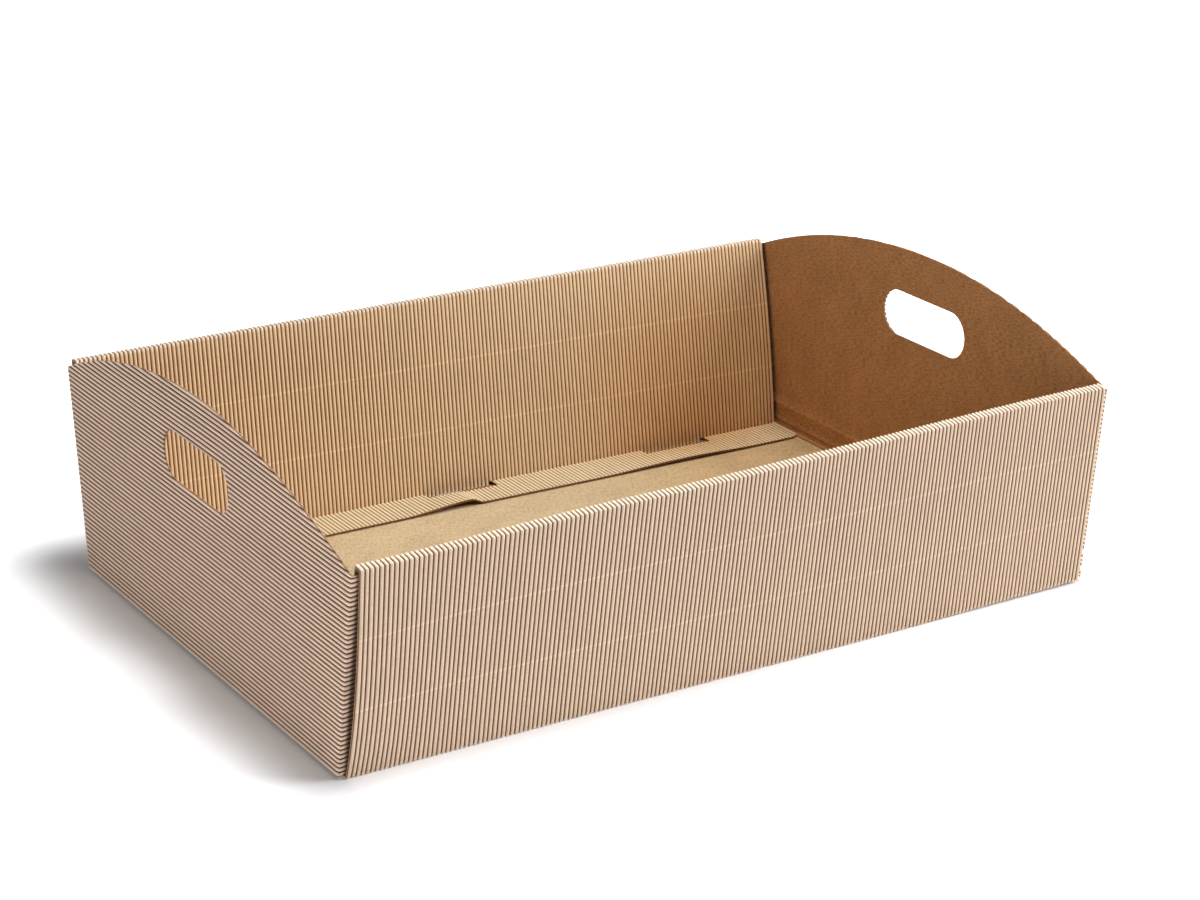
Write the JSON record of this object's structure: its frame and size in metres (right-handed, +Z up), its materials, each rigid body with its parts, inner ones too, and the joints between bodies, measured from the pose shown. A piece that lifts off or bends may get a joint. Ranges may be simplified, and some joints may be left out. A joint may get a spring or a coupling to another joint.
{
  "type": "cardboard tray box",
  "caption": "Open tray box folded from one sheet of fluted kraft board, with rolled long walls and arched end walls that each have a hand hole.",
  "frame": {"origin": "middle of the underside, on the surface that the tray rests on", "axes": "+X along the tray's length, +Y across it, +Z up towards the open top"},
  "size_m": [0.5088, 0.361, 0.162],
  "materials": {
    "board": "matte"
  },
  "bodies": {
    "root": {"tray": "board"}
  },
  "joints": []
}
